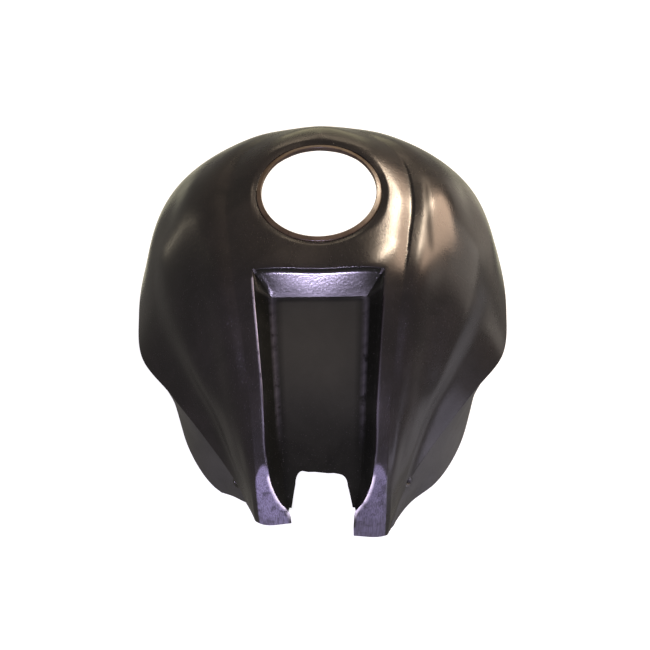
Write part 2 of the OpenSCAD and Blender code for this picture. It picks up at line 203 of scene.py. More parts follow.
def ease(t):
    t = np.clip(t, 0, 1)
    return t * t * (3 - 2 * t)


def between(x, start, end, rise, fall=None):
    """1 from start to end, with a smooth ramp inside each of them."""
    return ease((x - start) / rise) * ease((end - x) / (fall or rise))


def bump_at(x, centre, width):
    """1 at centre, falling smoothly to 0 at half of width on each side."""
    return ease(1 - np.abs(x - centre) / (width / 2))


def bisected(low, high, before):
    """The narrow gap where before turns from true to false, between each low and high."""
    for _ in range(40):
        mid = (low + high) / 2
        still = before(mid)
        low, high = np.where(still, mid, low), np.where(still, high, mid)
    return low, high


def trim_height(y):
    """Height of the saw cut through the left foot, at a place along the tank."""
    return np.minimum(FOOT_TRIM, FOOT_TRIM - (y - TRIM_KNEE) * TRIM_SLOPE)


def trimmed(surface, u, v, upto):
    """u moved so that each column of the left side starts at the saw cut, up to station upto."""
    def under(rows):
        p = surface(rows, v)
        return p[:, 2] < trim_height(p[:, 1])

    start = bisected(np.zeros(len(v)), np.full(len(v), float(upto)), under)[1]
    rows = u[:, None]
    return np.where(rows < upto, start + rows * (upto - start) / upto, rows)


def turned(degrees, axis):
    return Matrix.Rotation(math.radians(degrees), 4, axis)


# --- meshes

def numbered(grid):
    """The vertex number of each point of a grid of points."""
    return np.arange(grid.shape[0] * grid.shape[1]).reshape(grid.shape[:2])


def wrapped(index):
    """A grid of vertex numbers whose last column is joined to its first."""
    return np.concatenate([index, index[:, :1]], axis=1)


def grid_faces(index, keep=None):
    """Quads of a grid of vertex numbers: all of them, or the cells that keep marks."""
    cells = np.stack([index[:-1, :-1], index[:-1, 1:], index[1:, 1:], index[1:, :-1]], axis=-1)
    return cells.reshape(-1, 4) if keep is None else cells[keep]


def new_mesh(name, points, faces):
    mesh = bpy.data.meshes.new(name)
    mesh.from_pydata(np.asarray(points).tolist(), [], [list(map(int, f)) for f in faces])
    return mesh


def mesh_from(bm, name):
    mesh = bpy.data.meshes.new(name)
    bm.to_mesh(mesh)
    bm.free()
    return mesh


def new_object(name, data):
    made = bpy.data.objects.new(name, data)
    bpy.context.scene.collection.objects.link(made)
    return made


def normals_of(points, faces):
    mesh = new_mesh("measure", points, faces)
    found = np.zeros(len(points) * 3, np.float32)
    mesh.vertex_normals.foreach_get("vector", found)
    bpy.data.meshes.remove(mesh)
    return found.reshape(-1, 3).astype(float)


def compact(points, faces, *others):
    """Only the points that the faces use, with the faces renumbered."""
    used = np.unique(np.concatenate([np.asarray(f) for f in faces]))
    number = np.full(len(points), -1)
    number[used] = np.arange(len(used))
    return (points[used], [tuple(number[list(f)]) for f in faces], *(o[used] for o in others))


def edge_loops(faces):
    """The open edges of a sheet as closed loops of vertex numbers, with the sheet on their left."""
    directed = {(f[i - 1], f[i]) for f in faces for i in range(len(f))}
    follow = {a: b for a, b in directed if (b, a) not in directed}
    loops = []
    while follow:
        start, at = next(iter(sorted(follow.items())))
        del follow[start]
        loop = [start]
        while at != start:
            loop.append(at)
            at = follow.pop(at)
        loops.append(np.array(loop))
    return loops


def unit(vectors):
    return vectors / np.maximum(np.linalg.norm(vectors, axis=-1, keepdims=True), 1e-9)


ARC = 4  # facets round a quarter of an edge


def thicken(points, faces, depth, radius):
    """A closed sheet that is depth thick below points, with rounded edges that stand radius past
    its outline. Gives points, faces and each face's material: 0 outside, 1 inside."""
    normal = normals_of(points, faces)
    depth = np.broadcast_to(np.reshape(depth, (-1, 1)), (len(points), 1))
    made = [points, points - depth * normal]
    total = 2 * len(points)
    all_faces = [tuple(f) for f in faces]
    all_faces += [tuple(i + len(points) for i in f[::-1]) for f in faces]
    inside = [0] * len(faces) + [1] * len(faces)
    angles = [(k * math.pi / 2 / ARC, 0) for k in range(1, ARC + 1)]
    angles += [(math.pi / 2 - k * math.pi / 2 / ARC, 1) for k in range(ARC)]
    for loop in edge_loops(faces):
        p, n = points[loop], normal[loop]
        arriving, leaving = unit(p - np.roll(p, 1, 0)), unit(np.roll(p, -1, 0) - p)
        out = unit(np.cross(unit(arriving + leaving), n))
        turn = np.sqrt(np.clip((1 + (arriving * leaving).sum(1)) / 2, 0.4, 1))
        reach = radius / turn[:, None]
        rows = [loop]
        for angle, low in angles:
            sink = radius * (1 - math.cos(angle))
            below = depth[loop] - sink if low else sink
            made.append(p + out * reach * math.sin(angle) - n * below)
            rows.append(np.arange(len(loop)) + total)
            total += len(loop)
        rows.append(loop + len(points))
        for above, row in zip(rows, rows[1:]):
            all_faces += list(zip(np.roll(above, -1), above, row, np.roll(row, -1)))
            inside += [0] * len(loop)
    made = np.concatenate(made)
    made[:, 2] = np.maximum(made[:, 2], 0)
    return made, all_faces, inside


def thing(name, mesh, body, replaced, materials, smooth_angle=None):
    """A piece that rides on a body, stands for CAD nodes and takes the given materials."""
    piece = new_object(name, mesh)
    for m in materials:
        mesh.materials.append(m)
    mesh.shade_smooth()
    if smooth_angle is not None:
        mesh.set_sharp_from_angle(angle=math.radians(smooth_angle))
    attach(piece, body)
    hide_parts(*replaced)
    return piece


def sheet_mesh(name, points, faces, depth, radius=RIM):
    solid, all_faces, inside = thicken(points, faces, depth, radius)
    mesh = new_mesh(name, solid, all_faces)
    mesh.polygons.foreach_set("material_index", inside)
    return mesh


def drilled(piece, axis_matrix, radius):
    """Cuts a round hole through a piece."""
    bm = bmesh.new()
    bmesh.ops.create_cone(bm, cap_ends=True, segments=64, radius1=radius, radius2=radius,
                          depth=60 * MM, matrix=axis_matrix)
    mesh = mesh_from(bm, "drill")
    tool = new_object("drill", mesh)
    modifier = piece.modifiers.new("hole", "BOOLEAN")
    modifier.object = tool
    modifier.operation = "DIFFERENCE"
    modifier.solver = "EXACT"
    modifier.material_mode = "INDEX"
    bpy.context.view_layer.update()
    evaluated = piece.evaluated_get(bpy.context.evaluated_depsgraph_get())
    result = bpy.data.meshes.new_from_object(evaluated)
    old = piece.data
    piece.modifiers.clear()
    piece.data = result
    result.name = piece.name
    bpy.data.meshes.remove(old)
    bpy.data.objects.remove(tool)
    bpy.data.meshes.remove(mesh)
    result.shade_smooth()
    result.set_sharp_from_angle(angle=math.radians(48))


# --- the outer skin

PATCH_RINGS = 12  # rings of points round the filler
BLOCK_BEHIND, BLOCK_AHEAD, BLOCK_BESIDE = 11, 15, 4  # size of the block that they fill
PULLED_LINES = 8  # lines that move to make room for a rounded edge
WAVES = np.random.default_rng(7).normal(size=(14, 3))
PHASES = np.random.default_rng(8).uniform(0, 2 * math.pi, 14)


def filler_radius(points):
    """Distance of points from the filler's axis."""
    local = points - np.array(FILLER)
    forward = local[..., 1] * math.cos(FILLER_TILT) + local[..., 2] * math.sin(FILLER_TILT)
    return np.hypot(local[..., 0], forward)


def filler_patch(corner_u, corner_v, index, u, v):
    """Rings of points from the edge of a block of the grid in to the filler's hole."""
    first_row, last_row = corner_u
    first, last = corner_v
    loop = np.concatenate([index[first_row, first:last], index[first_row:last_row, last],
                           index[last_row, last:first:-1], index[last_row:first_row:-1, first]])
    edge_u, edge_v = u.ravel()[loop], v.ravel()[loop]

    def outside(share):
        p = skin_at(edge_u + (FILLER_STATION - edge_u) * share, edge_v * (1 - share))
        return filler_radius(p) > FILLER_HOLE + RIM

    low = bisected(np.zeros(len(loop)), np.ones(len(loop)), outside)[0]
    share = (np.arange(1, PATCH_RINGS + 1) / PATCH_RINGS)[:, None] * low
    return loop, edge_u + (FILLER_STATION - edge_u) * share, edge_v * (1 - share)


def waviness(points, length, height):
    """Low waves of about the given length, as hand-laid laminate has."""
    turns = 2 * math.pi / length * (points @ unit(WAVES).T) * (0.7 + 0.6 * np.sin(PHASES) ** 2)
    return height * np.sin(turns + PHASES).mean(axis=1) * 2


def skin_relief(points, u, v):
    """How far the skin stands out of its smooth surface, in metres."""
    side = np.abs(v)
    relief = waviness(points, 55 * MM, 0.14 * MM) + waviness(points, 21 * MM, 0.02 * MM)
    # A low ridge along the deck on both sides of the filler.
    ridge = bump_at(np.abs(points[:, 0]), 70 * MM, 24 * MM)
    relief += 0.2 * MM * ridge * between(u, 7, 11.4, 1)
    # The deck sinks to the foot of the step, beside the filler on the right.
    sunk = ease((side - 1.5) / 0.5) * (1 - ease((side - DECK_GUIDE) / 0.12))
    relief -= 0.8 * MM * (v > 0) * sunk * between(u, 7.8, 11.3, 0.8)
    # The edges of the channel's opening roll over before they end.
    relief -= 0.25 * MM * (1 - np.clip(from_opening(u, side) / (4 * MM), 0, 1)) ** 2
    # The skin dishes down to the filler's seat.
    relief -= 1.8 * MM * ease((65 * MM - filler_radius(points)) / (6 * MM))
    # A crack along the foot of the step, beside the filler on the right.
    crack = bump_at(side, CRACK_GUIDE, 0.16) * between(u, 9.1, 10.9, 0.3, 0.4)
    relief -= 0.4 * MM * crack * (v > 0)
    return relief


def from_opening(u, side):
    """About how far a place on the skin is from the channel's opening: a guide takes about 24 mm,
    and a station about 33 mm."""
    beside = np.where(u < FRONT_STATION, (side - 1) * 24 * MM, 1)
    ahead = np.where(side < 1, (u - FRONT_STATION) * 33 * MM, 1)
    return np.minimum(beside, ahead)


def skin_thickness(u, side):
    """The skin thins out towards the opening, where it is bonded to the tray."""
    return SKIN * (0.45 + 0.55 * ease(from_opening(u, side) / (9 * MM)))


def pull_in(lines, far=-1):
    """Moves the first lines of a grid away from its border, so that a rounded edge fits on. lines
    is lines x points x 3 with the border first, and far numbers the opposite border."""
    width = np.linalg.norm(lines[far] - lines[0], axis=-1)
    reach = np.minimum(7 * MM, width * 0.4)
    inward = unit(lines[PULLED_LINES // 2] - lines[0])
    for k in range(PULLED_LINES - 1, -1, -1):
        gap = np.linalg.norm(lines[k] - lines[0], axis=-1) / reach
        lines[k] += inward * (np.minimum(RIM, width * 0.12) * (1 - ease(gap)))[..., None]


def pull_all_in(grid):
    """A grid of points with all four of its borders pulled in."""
    for flip in (1, -1):
        for turn in (False, True):
            pull_in(grid.transpose(1, 0, 2)[::flip] if turn else grid[::flip])
    return grid


def make_skin():
    v_right = steps(SKIN_COLUMNS)
    v = np.concatenate([-v_right[:0:-1], v_right])
    rows = steps(SKIN_ROWS)
    u = np.repeat(rows[:, None], len(v), axis=1)
    left = v < 0
    u[:, left] = trimmed(skin_at, rows, v[left], 5)
    v = np.repeat(v[None, :], len(rows), axis=0)
    middle = len(v_right) - 1
    front = sum(SKIN_ROWS[:FRONT_STATION])
    opening = SKIN_COLUMNS[0]
    points = skin_at(u, v)

    for border, step in ((middle + opening, 1), (middle - opening, -1)):
        pull_in(points[:front + 1, border::step].transpose(1, 0, 2))
    pull_in(points[front:, middle - opening:middle + opening + 1])
    pull_in(points, front)
    for step in (1, -1):
        pull_in(points[:, ::step].transpose(1, 0, 2), middle - opening)

    index = numbered(points)
    welded = index.copy()
    welded[-1, :middle] = index[-1, :middle:-1]
    # A block of the grid makes room for rings of points round the filler.
    block_rows = (front + BLOCK_BEHIND, sum(SKIN_ROWS[:11]) + BLOCK_AHEAD)
    block_columns = (middle - opening - BLOCK_BESIDE, middle + opening + BLOCK_BESIDE)
    i, j = np.mgrid[:points.shape[0] - 1, :points.shape[1] - 1]
    in_opening = (i < front) & (np.abs(j + 0.5 - middle) < opening)
    in_block = ((i >= block_rows[0]) & (i < block_rows[1])
                & (j >= block_columns[0]) & (j < block_columns[1]))
    faces = grid_faces(welded, ~in_opening & ~in_block)

    loop, patch_u, patch_v = filler_patch(block_rows, block_columns, index, u, v)
    rings = np.concatenate([loop[None], index.size + numbered(patch_u)])
    faces = np.concatenate([faces, grid_faces(wrapped(rings))])
    points = np.concatenate([points.reshape(-1, 3), skin_at(patch_u, patch_v).reshape(-1, 3)])
    points, faces, u, v = compact(points, faces, np.append(u, patch_u), np.append(v, patch_v))
    points = points + normals_of(points, faces) * skin_relief(points, u, v)[:, None]
    return sheet_mesh("shell_skin", points, faces, skin_thickness(u, np.abs(v)))


# --- the centre channel

MIDDLE_SHARES = [0, 0.35, 0.7, 1]  # columns of the floor in front of the notch
FLOOR_SHARES = [0, 0.2, 0.4, 0.6, 0.8, 1]  # columns from there to the floor's edge
WALL_SHARES = [0.25, 0.5, 0.75, 1]  # columns up a side wall
FRONT_SHARES = [0.2, 0.4, 0.6, 0.8, 1]  # rows up the front wall
CREASE = 1.3 * MM  # width of the rounding along each inside corner


def notch_half(y):
    """Half the width of the notch between the feet, at a place along the tank."""
    corner_y = NOTCH_FRONT - NOTCH_CORNER
    into = np.clip((y - corner_y) / NOTCH_CORNER, 0, 1)
    flare = NOTCH_FLARE * np.maximum(corner_y - y, 0)
    return NOTCH_HALF + flare - NOTCH_CORNER * (1 - np.sqrt(1 - into * into))


def floor_stations():
    """Places of the rows along the channel's floor, close together round the notch's corners."""
    fine = np.linspace(0, 6, 601)
    y = along(FLOOR_GUIDES, fine)[:, 0, 1]
    corner_y = NOTCH_FRONT - NOTCH_CORNER
    turns = np.radians([0, 15, 30, 45, 60, 75, 90])
    arc = np.interp(corner_y + NOTCH_CORNER * np.sin(turns), y, fine)
    before = np.linspace(0, arc[0], 5)[:-1]
    after = np.linspace(arc[-1], 6, 56)[1:]
    return np.concatenate([before, arc, after]), len(before) + len(arc) - 1


def bond_at(u, v):
    """The surface that the tray is bonded to, under the skin at station u and guide v."""
    step = 1e-3
    at = skin_at(u, v)
    over = skin_at(u, v + step) - at
    ahead = skin_at(u + step, v) - at
    depth = skin_thickness(u, v) + BOND
    return at - depth[..., None] * unit(np.cross(over, ahead))


def make_channel():
    q, notch_row = floor_stations()
    floor = along(FLOOR_GUIDES, q)
    line, edge = floor[:, 0], floor[:, 1]
    # The skin's station beside each row. The floor ends a little short of the front wall's top.
    u = np.where(q <= 5, q + REAR_STATION, 5 + REAR_STATION + (q - 5) * 0.75)
    lip, flange = bond_at(u, 1), bond_at(u, FLANGE_GUIDE)
    inner_x = np.where(np.arange(len(q)) < notch_row, notch_half(line[:, 1]),
                       NOTCH_HALF - NOTCH_CORNER)
    columns = []
    for share in MIDDLE_SHARES[:-1]:
        columns.append(line + (inner_x * share)[:, None] * (1, 0, 0))
    for share in FLOOR_SHARES:
        x = inner_x + (edge[:, 0] - inner_x) * share
        columns.append(np.stack([x, line[:, 1], line[:, 2]], axis=1))
    for share in WALL_SHARES:
        columns.append(edge + (lip - edge) * share)
    columns.append(flange)
    tray = np.stack(columns, axis=1)
    edge_column = len(MIDDLE_SHARES) - 1 + len(FLOOR_SHARES) - 1

    # The front wall leans forwards from the end of the floor to the deck, between two mitres.
    front = []
    floor_end = tray[-1, :edge_column + 1]
    shares = floor_end[:, 0] / floor_end[-1, 0]
    for t in FRONT_SHARES:
        wall = floor_end * (1 - t) + bond_at(FRONT_STATION, shares) * t
        side_u = u[-1] + (FRONT_STATION - u[-1]) * t
        side = [wall[-1] + (bond_at(side_u, 1) - wall[-1]) * share for share in WALL_SHARES]
        front.append(np.concatenate([wall, side, [bond_at(side_u, FLANGE_GUIDE)]]))
    ledge, corner = bond_at(LEDGE_STATION, shares), bond_at(LEDGE_STATION, 1)
    spread = [ledge[-1] + (corner - ledge[-1]) * share for share in WALL_SHARES]
    front.append(np.concatenate([ledge, spread, [bond_at(LEDGE_STATION, FLANGE_GUIDE)]]))
    half = np.concatenate([tray, np.array(front)])
    floor_row = len(q) - 1
    lip_row = floor_row + len(FRONT_SHARES)
    points = np.concatenate([half[:, :0:-1] * MIRROR, half], axis=1)
    middle = half.shape[1] - 1
    index = numbered(points)
    i, j = np.mgrid[:points.shape[0] - 1, :points.shape[1] - 1]
    in_notch = (i < notch_row) & (np.abs(j + 0.5 - middle) < len(MIDDLE_SHARES) - 1)
    kept = grid_faces(index, ~in_notch)
    flat, faces = compact(points.reshape(-1, 3), kept)
    flat = flat + normals_of(flat, faces) * waviness(flat, 45 * MM, 0.1 * MM)[:, None]
    # The notch was cut by hand, so its front edge slopes and is a little uneven.
    close = bump_at(flat[:, 1], NOTCH_FRONT, 32 * MM) * (np.abs(flat[:, 0]) < edge[0, 0])
    cut = close * (0.08 * flat[:, 0] + 0.35 * MM * np.sin(flat[:, 0] / (2.3 * MM)))
    flat = flat - cut[:, None] * (0, 0.66, 0.75)

    # The inside corners are rounded: along the floor's edges, up the mitres and across the front.
    number = np.searchsorted(np.unique(kept), index)
    creases = [number[row_pair, column] for column in (middle - edge_column, middle + edge_column)
               for row_pair in ([r, r + 1] for r in range(lip_row))]
    across_floor = range(middle - edge_column, middle + edge_column)
    creases += [number[floor_row, [c, c + 1]] for c in across_floor]
    return rounded_sheet("channel_tray", flat, faces, creases)


def rounded_sheet(name, points, faces, creases):
    """A thick panel whose creased edges are rounded."""
    bm = bmesh.new()
    for p in points:
        bm.verts.new(p)
    bm.verts.ensure_lookup_table()
    for f in faces:
        bm.faces.new([bm.verts[i] for i in f])
    edges = [bm.edges.get((bm.verts[a], bm.verts[b])) for a, b in creases]
    bmesh.ops.bevel(bm, geom=[e for e in edges if e], offset=CREASE, segments=4, profile=0.5,
                    affect="EDGES", clamp_overlap=True)
    bm.verts.index_update()
    soft_points = np.array([v.co for v in bm.verts])
    soft_faces = [tuple(v.index for v in f.verts) for f in bm.faces]
    bm.free()
    return sheet_mesh(name, soft_points, soft_faces, PANEL, PANEL_RIM)


# --- knee panels

def make_knee(side):
    rows = steps(KNEE_ROWS)
    columns = steps(KNEE_COLUMNS)
    u = np.repeat(rows[:, None], len(columns), axis=1)
    if side < 0:
        u = trimmed(knee_at, rows, columns, 6)
    v = np.repeat(columns[None, :], len(rows), axis=0)
    points = pull_all_in(knee_at(u, v))
    faces = grid_faces(numbered(points))
    flat = points.reshape(-1, 3)
    flat = flat + normals_of(flat, faces) * waviness(flat, 50 * MM, 0.25 * MM)[:, None]
    if side < 0:
        flat = flat * MIRROR
        faces = faces[:, ::-1]
    name = "left" if side < 0 else "right"
    return sheet_mesh(f"{name}_knee_skirt", flat, faces, PANEL, PANEL_RIM)


# --- pads of foam core inside the skin

GLUE = 0.8 * MM
CORE_EDGE = 2.2 * MM  # radius of a pad's rounded edges


def core_block(u_range, v_range, counts, thickness):
    """A pad bonded below the skin, between two stations and two guides."""
    u, v = np.meshgrid(np.linspace(*u_range, counts[0]), np.linspace(*v_range, counts[1]),
                       indexing="ij")
    faces = grid_faces(numbered(u))
    top = skin_at(u, v).reshape(-1, 3)
    bed = top - normals_of(top, faces) * (SKIN + GLUE)
    return thicken(bed, faces, thickness, CORE_EDGE)[:2]


def cores_mesh(name, solids):
    """One mesh of several closed solids, each points and faces."""
    points, faces, total = [], [], 0
    for p, f in solids:
        points.append(p)
        faces += [tuple(i + total for i in face) for face in f]
        total += len(p)
    points = np.concatenate(points)
    normal = normals_of(points, faces)
    points = points + normal * waviness(points, 12 * MM, 0.25 * MM)[:, None]
    return new_mesh(name, points, faces)


def mirrored(solid):
    points, faces = solid
    return points * MIRROR, [f[::-1] for f in faces]


# --- turned parts

def rounded_outline(corners, radius):
    """A closed outline with each corner rounded off by a curve."""
    made = []
    for i, corner in enumerate(corners):
        before, here, after = (np.array(c, float) for c in
                               (corners[i - 1], corner, corners[(i + 1) % len(corners)]))
        a, b = unit(before - here), unit(after - here)
        shorter = min(np.linalg.norm(before - here), np.linalg.norm(after - here))
        reach = min(radius, 0.4 * shorter)
        for t in np.linspace(0, 1, 5):
            made.append(here + a * reach * (1 - t) ** 2 + b * reach * t ** 2)
    return np.array(made)


def lathe(outline, segments, wobble=0.0):
    """A closed outline of radius and height turned round Z."""
    angle = np.arange(segments) * 2 * math.pi / segments
    lumps = np.sin(7 * angle + 1) + 0.6 * np.sin(17 * angle) + 0.4 * np.sin(41 * angle)
    uneven = 1 + wobble * lumps
    r = outline[None, :, 0] * uneven[:, None]
    z = np.repeat(outline[None, :, 1], segments, axis=0)
    points = np.stack([r * np.cos(angle)[:, None], r * np.sin(angle)[:, None], z], axis=-1)
    index = numbered(points)
    faces = grid_faces(wrapped(np.concatenate([index, index[:1]])))
    return points.reshape(-1, 3), faces[:, ::-1]


def placed(points, matrix):
    rotation = np.array(matrix.to_3x3())
    return points @ rotation.T + np.array(matrix.translation)


ON_FILLER = Matrix.Translation(FILLER) @ Matrix.Rotation(FILLER_TILT, 4, "X")


# Sections as radius and height, in millimetres.
SEAT_SECTION = [
    (53.5, -0.9), (53.5, -4), (56.5, -4), (56.5, -8), (64, -8), (64, -5.8), (58.2, -5.8),
    (58.2, -3), (58.0, -1.5), (53.9, -0.2)
]
BACKING_SECTION = [(58, -10.5), (66, -10.5), (66, -8.2), (58, -8.2)]


def filler_part(name, section, rounding, segments, wobble=0.0):
    """A ring round the filler's axis."""
    outline = rounded_outline(MM * np.array(section), rounding)
    points, faces = lathe(outline, segments, wobble)
    return new_mesh(name, placed(points, ON_FILLER), faces)


# --- machined parts, taken from the frame and given soft edges

def softened(node, width, angle=28):
    """The CAD node's own mesh with its sharp edges rounded."""
    bm = bmesh.new()
    bm.from_mesh(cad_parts[node].data)
    bmesh.ops.remove_doubles(bm, verts=bm.verts, dist=2e-6)
    bmesh.ops.dissolve_limit(bm, angle_limit=math.radians(0.6), verts=bm.verts, edges=bm.edges)
    sharp = [e for e in bm.edges if e.is_manifold and e.calc_face_angle() > math.radians(angle)]
    bmesh.ops.bevel(bm, geom=sharp, offset=width, segments=3, profile=0.5, affect="EDGES",
                    clamp_overlap=True)
    for f in bm.faces:
        f.material_index = 0
    return mesh_from(bm, f"{node}_made")


def thread_ridge(radius, pitch, start, length, matrix):
    """The helical ridge of an inside thread, as points and faces."""
    per_turn, depth = 28, 0.55 * pitch
    count = int(per_turn * length / pitch)
    angle = np.arange(count + 1) * 2 * math.pi / per_turn
    z = start + np.arange(count + 1) * pitch / per_turn
    rows = []
    root, half = radius + 0.1 * MM, 0.42 * pitch
    for r, dz in ((root, -half), (radius - depth, 0), (root, half)):
        rows.append(np.stack([r * np.cos(angle), r * np.sin(angle), z + dz], axis=1))
    points = np.stack(rows, axis=1)
    return placed(points.reshape(-1, 3), matrix), grid_faces(wrapped(numbered(points)))


def joined(mesh, points, faces):
    """The mesh with more points and faces in it."""
    bm = bmesh.new()
    bm.from_mesh(mesh)
    verts = [bm.verts.new(p) for p in points]
    for f in faces:
        bm.faces.new([verts[i] for i in f])
    bm.to_mesh(mesh)
    bm.free()
    return mesh


def at_side_fixing(side):
    place = (Matrix.Translation((81 * MM, -164 * MM, 38 * MM))
             @ turned(-42, "Z") @ turned(65, "Y"))
    return place if side > 0 else Matrix.Diagonal((-1, 1, 1, 1)) @ place


def at_stud(side):
    return Matrix.Translation((side * 161 * MM, 40 * MM, 26 * MM)) @ turned(90 * side, "Y")


# --- materials

def feed(tree, socket, value):
    """Gives a socket a value, or links it to the socket that feeds it."""
    if isinstance(value, bpy.types.NodeSocket):
        tree.links.new(value, socket)
    else:
        socket.default_value = value


def add(tree, kind, settings=None, **inputs):
    """A shader node. Each input is a value or the socket that feeds it."""
    node = tree.nodes.new(kind)
    for key, value in (settings or {}).items():
        setattr(node, key, value)
    for key, value in inputs.items():
        feed(tree, node.inputs[int(key[1:]) if key[0] == "_" else key.replace("_", " ")], value)
    return node


def fac(node):
    return node.outputs[0]


def calc(tree, operation, a, b=0.0, clamp=False):
    settings = {"operation": operation, "use_clamp": clamp}
    return fac(add(tree, "ShaderNodeMath", settings, _0=a, _1=b))


def mapped(tree, value, low, high, to_low=0.0, to_high=1.0):
    return fac(add(tree, "ShaderNodeMapRange", {"interpolation_type": "SMOOTHSTEP"}, Value=value,
                   From_Min=low, From_Max=high, To_Min=to_low, To_Max=to_high))


def noise(tree, place, scale, detail=3.0, roughness=0.5, distortion=0.0):
    return fac(add(tree, "ShaderNodeTexNoise", Vector=place, Scale=scale, Detail=detail,
                   Roughness=roughness, Distortion=distortion))


def stretched(tree, place, scale):
    return fac(add(tree, "ShaderNodeMapping", Vector=place, Scale=scale))


def blend_colour(tree, share, a, b):
    node = add(tree, "ShaderNodeMix", {"data_type": "RGBA"}, _0=share)
    for number, value in ((6, a), (7, b)):
        feed(tree, node.inputs[number], (*value, 1) if isinstance(value, (tuple, list)) else value)
    return node.outputs[2]


def blend_value(tree, share, a, b):
    return fac(add(tree, "ShaderNodeMix", {"data_type": "FLOAT"}, _0=share, _2=a, _3=b))


def bump(tree, height, distance, strength=1.0, normal=None):
    node = add(tree, "ShaderNodeBump", Height=height, Distance=distance, Strength=strength)
    if normal is not None:
        tree.links.new(normal, node.inputs["Normal"])
    return fac(node)


def attribute(tree, name):
    return add(tree, "ShaderNodeAttribute", {"attribute_name": name}).outputs["Fac"]


def surface(name, **uniform):
    """A material with one Principled shader, whose even values are set on its own sockets."""
    material = bpy.data.materials.new(name)
    material.use_nodes = True
    tree = material.node_tree
    shader = tree.nodes["Principled BSDF"]
    for key, value in uniform.items():
        shader.inputs[key.replace("_", " ")].default_value = value
    place = add(tree, "ShaderNodeTexCoord").outputs["Object"]
    return material, tree, shader, place


def finish(tree, shader, colour, roughness, normal):
    for name, value in (("Base Color", colour), ("Roughness", roughness), ("Normal", normal)):
        tree.links.new(value, shader.inputs[name])


# Sanded gelcoat's pale grey and its darker scratch lines, both tinted violet as a painted
# reflection of the window light.
SANDED_VIOLET_SHEEN, SANDED_DARK_VIOLET_SHEEN = (0.22, 0.205, 0.285), (0.099, 0.09225, 0.12825)
# A pale worn-edge colour, near white, as a painted glint along the edges.
WORN_AND_GLINT = (0.90, 0.86, 0.88)
CRACKED = (0.002, 0.002, 0.002)


def gelcoat(name, dark, light, roughness):
    """Satin gelcoat: mottled, orange-peeled and rubbed, sanded through where the mask says, with a
    painted violet reflection on the sanding, painted glints along worn edges, and painted light on
    the paler floor.
    """
    material, tree, shader, place = surface(name, Coat_Weight=0.22, Coat_Roughness=0.2)
    cloud = noise(tree, place, 21, 5, 0.62, 0.4)
    speck = mapped(tree, noise(tree, place, 1300, 1), 0.70, 0.78)
    colour = blend_colour(tree, mapped(tree, cloud, 0.34, 0.68), dark, light)
    colour = blend_colour(tree, calc(tree, "MULTIPLY", speck, 0.5), colour, (0.12, 0.11, 0.10))
    rub = noise(tree, place, 8, 6, 0.6, 1.1)
    scuff = mapped(tree, noise(tree, stretched(tree, place, (260, 40, 260)), 1, 3), 0.60, 0.76)
    even = mapped(tree, rub, 0.3, 0.7, roughness - 0.05, roughness + 0.08)
    rough = calc(tree, "ADD", even, calc(tree, "MULTIPLY", scuff, 0.07))
    sanding_and_sheen = attribute(tree, "sanding_and_sheen")
    lines = noise(tree, stretched(tree, place, (1500, 1500, 45)), 1, 2)
    patchy = noise(tree, place, 95, 4, 0.7)
    ground = calc(tree, "MULTIPLY", sanding_and_sheen, mapped(tree, patchy, 0.30, 0.52, 0.45, 1.0), True)
    # The sanded feet: pale grey scratch lines with a painted violet reflection.
    scratched_with_sheen = blend_colour(tree, mapped(tree, lines, 0.35, 0.65), SANDED_DARK_VIOLET_SHEEN, SANDED_VIOLET_SHEEN)
    colour = blend_colour(tree, ground, colour, scratched_with_sheen)
    rough = blend_value(tree, ground, rough, mapped(tree, lines, 0.3, 0.7, 0.42, 0.62))
    # Worn edges are paled, with a painted glint along them.
    worn_and_glint = calc(tree, "MULTIPLY", attribute(tree, "wear_and_glint"), mapped(tree, patchy, 0.30, 0.48))
    colour = blend_colour(tree, worn_and_glint, colour, WORN_AND_GLINT)
    colour = blend_colour(tree, attribute(tree, "crack"), colour, CRACKED)
    matt = attribute(tree, "matt")
    # The matt floor's paler colour, with painted light that grows where the mask rises.
    pale_lit_colour = blend_colour(tree, cloud, (0.0245, 0.0250, 0.0185), (0.038, 0.0385, 0.0285))
    colour = blend_colour(tree, attribute(tree, "pale_and_lit"), colour, pale_lit_colour)
    rough = blend_value(tree, matt, rough, 0.80)
    for socket, gloss in (("Coat Weight", 0.22), ("Specular IOR Level", 0.5)):
        tree.links.new(blend_value(tree, matt, gloss, 0.0), shader.inputs[socket])
    peel = noise(tree, place, 430, 2, 0.5)
    pits = mapped(tree, noise(tree, place, 900, 2, 0.6), 0.36, 0.28)
    pits = calc(tree, "MULTIPLY", pits, mapped(tree, noise(tree, place, 30, 3), 0.46, 0.62))
    normal = bump(tree, calc(tree, "SUBTRACT", peel, pits), 0.00018, 0.5)
    normal = bump(tree, calc(tree, "MULTIPLY", lines, ground), 0.00012, 0.8, normal)
    finish(tree, shader, colour, rough, normal)
    return material


def laminate(name, resin, glass):
    """The raw inside of the laminate: a coarse weave under uneven resin."""
    material, tree, shader, place = surface(name)
    weave = []
    for direction in ("X", "Y"):
        weave.append(add(tree, "ShaderNodeTexWave", {"bands_direction": direction}, Vector=place,
                         Scale=52.0, Distortion=1.4, Detail=2.0, Detail_Scale=1.5).outputs["Fac"])
    checks = add(tree, "ShaderNodeTexChecker", Vector=place, Scale=330.0).outputs["Fac"]
    tows = blend_value(tree, checks, weave[0], weave[1])
    pooled = mapped(tree, noise(tree, place, 26, 4, 0.6, 0.6), 0.42, 0.62)
    colour = blend_colour(tree, mapped(tree, tows, 0.1, 0.9), resin, glass)
    wet = calc(tree, "MULTIPLY", pooled, 0.6)
    colour = blend_colour(tree, wet, colour, [c * 0.8 for c in resin])
    rough = mapped(tree, pooled, 0, 1, 0.62, 0.30)
    normal = bump(tree, blend_value(tree, pooled, tows, noise(tree, place, 60, 2)), 0.0004, 0.8)
    finish(tree, shader, colour, rough, normal)
    return material


